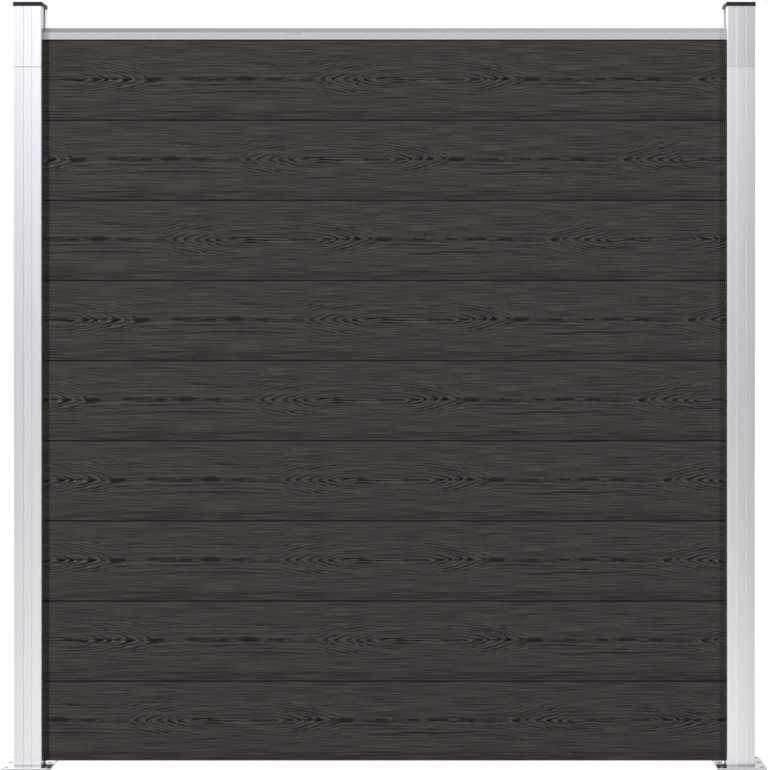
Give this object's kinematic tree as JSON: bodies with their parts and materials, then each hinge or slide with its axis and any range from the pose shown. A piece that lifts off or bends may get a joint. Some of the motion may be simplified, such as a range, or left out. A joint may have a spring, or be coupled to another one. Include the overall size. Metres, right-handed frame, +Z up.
{
  "type": "composite fence panel",
  "caption": "Privacy fence panel of level dark wood-plastic boards with embossed grain and an aluminium top rail, held in slotted aluminium posts with black caps and square foot plates.",
  "frame": {"origin": "on the ground, midway between the two posts and midway through their depth", "axes": "+X along the panel to the right seen from the front, +Y to the back, +Z up; the front faces -Y"},
  "size_m": [1.852, 0.12, 1.86],
  "materials": {
    "post_aluminium": "matt anodised extrusion",
    "rail_aluminium": "satin drawn extrusion with fine lines along it",
    "composite_board": "dark brown-grey wood-plastic composite with embossed wood grain",
    "black_plastic": "fine moulded texture",
    "polished_steel": "bright, nearly polished plate",
    "screw_steel": "plain zinc plated"
  },
  "bodies": {
    "root": {"base_screws_left": "screw_steel", "base_screws_right": "screw_steel", "board_1": "composite_board", "board_2": "composite_board", "board_3": "composite_board", "board_4": "composite_board", "board_5": "composite_board", "board_6": "composite_board", "board_7": "composite_board", "board_8": "composite_board", "board_9": "composite_board", "board_support_left": "black_plastic", "board_support_right": "black_plastic", "cover_strip_left_back": "post_aluminium", "cover_strip_left_front": "post_aluminium", "cover_strip_left_outer": "post_aluminium", "cover_strip_right_back": "post_aluminium", "cover_strip_right_front": "post_aluminium", "cover_strip_right_outer": "post_aluminium", "foot_plate_left": "polished_steel", "foot_plate_right": "polished_steel", "head_strip_left_back": "post_aluminium", "head_strip_left_front": "post_aluminium", "head_strip_left_outer": "post_aluminium", "head_strip_right_back": "post_aluminium", "head_strip_right_front": "post_aluminium", "head_strip_right_outer": "post_aluminium", "joiner_screws_left": "screw_steel", "joiner_screws_right": "screw_steel", "post_cap_left": "black_plastic", "post_cap_right": "black_plastic", "post_head_left": "post_aluminium", "post_head_right": "post_aluminium", "post_joiner_left": "post_aluminium", "post_joiner_right": "post_aluminium", "post_left": "post_aluminium", "post_right": "post_aluminium", "top_rail": "rail_aluminium"}
  },
  "joints": []
}
